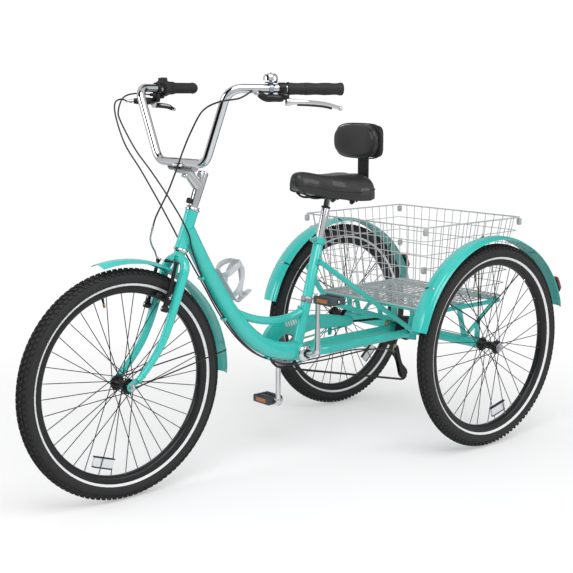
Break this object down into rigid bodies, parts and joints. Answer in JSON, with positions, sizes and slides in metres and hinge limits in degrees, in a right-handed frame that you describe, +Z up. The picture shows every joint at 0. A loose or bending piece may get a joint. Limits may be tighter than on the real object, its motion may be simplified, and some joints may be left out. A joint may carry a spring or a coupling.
{
  "type": "adult tricycle",
  "caption": "Step-through adult tricycle with a steered front wheel, high-rise bar, sprung saddle with backrest, rear wire basket and chain drive to a rear wheel.",
  "frame": {"origin": "on the ground, under the middle of the bounding box", "axes": "+Z up; -Y is the way it rides, so +Y is towards the rear; +X is the rider's left"},
  "size_m": [0.8066, 1.84, 1.1924],
  "materials": {
    "teal_paint": "gloss",
    "chrome": "polished",
    "steel": "satin",
    "black_metal": "satin",
    "black_plastic": "matte",
    "rubber": "matte",
    "tyre": "matte",
    "leatherette": "satin",
    "white_wire": "satin",
    "white_plastic": "satin"
  },
  "bodies": {
    "frame": {"main_frame": "teal_paint", "rear_frame": "teal_paint", "left_seat_stay": "teal_paint", "right_seat_stay": "teal_paint", "upper_headset_cup": "chrome", "lower_headset_cup": "chrome", "left_bracket_cup": "chrome", "seat_clamp": "teal_paint", "chain_guard": "teal_paint", "left_rear_fender": "teal_paint", "right_rear_fender": "teal_paint", "basket": "white_wire", "bottle_cage": "white_plastic", "chain": "black_metal", "shift_cable": "black_plastic", "rear_brake_cable": "black_plastic", "rear_brake_housing": "black_metal"},
    "fork": {"fork": "teal_paint", "front_fender": "teal_paint", "front_axle": "steel", "front_brake_cable": "black_plastic"},
    "front_wheel": {"front_tyre": "tyre", "front_rim": "black_metal", "front_hub": "black_metal"},
    "left_brake_arm": {"left_brake_arm": "black_metal"},
    "right_brake_arm": {"right_brake_arm": "black_metal"},
    "stem": {"stem": "chrome"},
    "handlebar": {"handlebar": "chrome", "left_grip": "rubber", "right_grip": "rubber", "left_lever_bracket": "black_metal", "right_lever_bracket": "black_metal", "shifter_housing": "black_plastic", "bell_dome": "chrome"},
    "left_brake_lever": {"left_brake_lever": "steel"},
    "right_brake_lever": {"right_brake_lever": "steel"},
    "twist_shifter": {"twist_shifter": "rubber"},
    "bell_lever": {"bell_lever": "black_plastic"},
    "rear_brake_arm": {"rear_brake_arm": "black_metal"},
    "derailleur_body": {"derailleur_body": "black_metal"},
    "derailleur_cage": {"derailleur_cage": "black_metal"},
    "guide_pulley": {"guide_pulley": "black_plastic"},
    "tension_pulley": {"tension_pulley": "black_plastic"},
    "drive_axle": {"rear_axle": "steel", "right_rear_tyre": "tyre", "right_rear_rim": "black_metal", "right_rear_hub": "black_metal"},
    "left_wheel": {"left_rear_tyre": "tyre", "left_rear_rim": "black_metal", "left_rear_hub": "black_metal"},
    "freewheel": {"freewheel": "steel"},
    "crankset": {"crank": "chrome", "chainring": "steel"},
    "left_pedal": {"left_pedal": "black_plastic"},
    "right_pedal": {"right_pedal": "black_plastic"},
    "seatpost": {"seatpost": "chrome", "saddle": "leatherette", "saddle_frame": "black_metal", "backrest_post": "black_metal"},
    "backrest_pad": {"backrest_pad": "leatherette"}
  },
  "joints": [
    {"name": "steering", "type": "hinge", "parent": "frame", "child": "fork", "pos_m": [0, -0.53345, 0.30809], "axis": [0, 0.3616, 0.9323], "range_deg": [-45, 45], "deforming": ["shift_cable", "rear_brake_cable"]},
    {"name": "front_wheel_spin", "type": "hinge", "parent": "fork", "child": "front_wheel", "pos_m": [0, -0.58995, 0.33], "axis": [1, 0, 0], "continuous": true},
    {"name": "left_brake_arm_pivot", "type": "hinge", "parent": "fork", "child": "left_brake_arm", "pos_m": [0.044, -0.47411, 0.53713], "axis": [0, -0.9323, 0.3616], "range_deg": [0, 3.5]},
    {"name": "right_brake_arm_pivot", "type": "hinge", "parent": "fork", "child": "right_brake_arm", "pos_m": [-0.044, -0.47411, 0.53713], "axis": [0, 0.9323, -0.3616], "range_deg": [0, 3.5]},
    {"name": "stem_height", "type": "slide", "parent": "fork", "child": "stem", "axis": [0, 0.3616, 0.9323], "range_m": [0, 0.06], "deforming": ["front_brake_cable", "shift_cable", "rear_brake_cable"]},
    {"name": "bar_angle", "type": "hinge", "parent": "stem", "child": "handlebar", "pos_m": [0, -0.37175, 0.93061], "axis": [1, 0, 0], "range_deg": [-15, 15], "deforming": ["front_brake_cable", "shift_cable", "rear_brake_cable"]},
    {"name": "left_lever_pivot", "type": "hinge", "parent": "handlebar", "child": "left_brake_lever", "pos_m": [0.29241, -0.2388, 1.12314], "axis": [0.0025, 0.0057, 1], "range_deg": [0, 22], "stiffness_Nm_per_rad": 0.5, "springref_deg": -5.73},
    {"name": "right_lever_pivot", "type": "hinge", "parent": "handlebar", "child": "right_brake_lever", "pos_m": [-0.27457, -0.27911, 1.10942], "axis": [0.0025, -0.0057, -1], "range_deg": [0, 22], "stiffness_Nm_per_rad": 0.5, "springref_deg": -5.73},
    {"name": "gear_twist", "type": "hinge", "parent": "handlebar", "child": "twist_shifter", "pos_m": [-0.27427, -0.23531, 1.14767], "axis": [-0.4047, 0.9144, -0.0062], "range_deg": [-45, 45]},
    {"name": "bell_lever_pivot", "type": "hinge", "parent": "handlebar", "child": "bell_lever", "pos_m": [0.26634, -0.25322, 1.16629], "axis": [0.0025, 0.0057, 1], "range_deg": [0, 20], "stiffness_Nm_per_rad": 0.05, "springref_deg": -5.73},
    {"name": "rear_brake_arm_pivot", "type": "hinge", "parent": "frame", "child": "rear_brake_arm", "pos_m": [-0.019, 0.52905, 0.31], "axis": [-1, 0, 0], "range_deg": [0, 11], "deforming": ["rear_brake_cable"]},
    {"name": "derailleur_swing", "type": "hinge", "parent": "frame", "child": "derailleur_body", "pos_m": [-0.081, 0.58305, 0.3], "axis": [0, 1, 0], "range_deg": [-9, 9], "deforming": ["chain", "shift_cable"]},
    {"name": "derailleur_cage_pivot", "type": "hinge", "parent": "derailleur_body", "child": "derailleur_cage", "pos_m": [-0.06, 0.56905, 0.251], "axis": [1, 0, 0], "range_deg": [-12, 15], "stiffness_Nm_per_rad": 0.5, "deforming": ["chain"]},
    {"name": "guide_pulley_spin", "type": "hinge", "parent": "derailleur_cage", "child": "guide_pulley", "pos_m": [-0.06, 0.56905, 0.251], "axis": [1, 0, 0], "continuous": true},
    {"name": "tension_pulley_spin", "type": "hinge", "parent": "derailleur_cage", "child": "tension_pulley", "pos_m": [-0.06, 0.60705, 0.155], "axis": [1, 0, 0], "continuous": true},
    {"name": "drive_axle_spin", "type": "hinge", "parent": "frame", "child": "drive_axle", "pos_m": [-0.35, 0.57705, 0.33], "axis": [1, 0, 0], "continuous": true},
    {"name": "left_wheel_spin", "type": "hinge", "parent": "frame", "child": "left_wheel", "pos_m": [0.35, 0.57705, 0.33], "axis": [1, 0, 0], "continuous": true},
    {"name": "freewheel_spin", "type": "hinge", "parent": "frame", "child": "freewheel", "pos_m": [-0.06, 0.57705, 0.33], "axis": [1, 0, 0], "continuous": true},
    {"name": "crank_spin", "type": "hinge", "parent": "frame", "child": "crankset", "pos_m": [0, 0.06205, 0.328], "axis": [1, 0, 0], "continuous": true},
    {"name": "left_pedal_spin", "type": "hinge", "parent": "crankset", "child": "left_pedal", "pos_m": [0.146, 0.06205, 0.512], "axis": [1, 0, 0], "continuous": true},
    {"name": "right_pedal_spin", "type": "hinge", "parent": "crankset", "child": "right_pedal", "pos_m": [-0.146, 0.06205, 0.144], "axis": [1, 0, 0], "continuous": true},
    {"name": "seat_height", "type": "slide", "parent": "frame", "child": "seatpost", "axis": [0, 0.2689, 0.9632], "range_m": [-0.05, 0.06]},
    {"name": "backrest_height", "type": "slide", "parent": "seatpost", "child": "backrest_pad", "axis": [0, 0, 1], "range_m": [-0.035, 0.03]}
  ],
  "couplings": [
    {"joint": "left_brake_arm_pivot", "follows": "left_lever_pivot", "ratio": 0.159},
    {"joint": "right_brake_arm_pivot", "follows": "left_lever_pivot", "ratio": 0.159},
    {"joint": "rear_brake_arm_pivot", "follows": "right_lever_pivot", "ratio": 0.5},
    {"joint": "derailleur_swing", "follows": "gear_twist", "ratio": 0.2},
    {"joint": "freewheel_spin", "follows": "crank_spin", "ratio": 2},
    {"joint": "guide_pulley_spin", "follows": "crank_spin", "ratio": -3.155},
    {"joint": "tension_pulley_spin", "follows": "crank_spin", "ratio": 3.155}
  ]
}
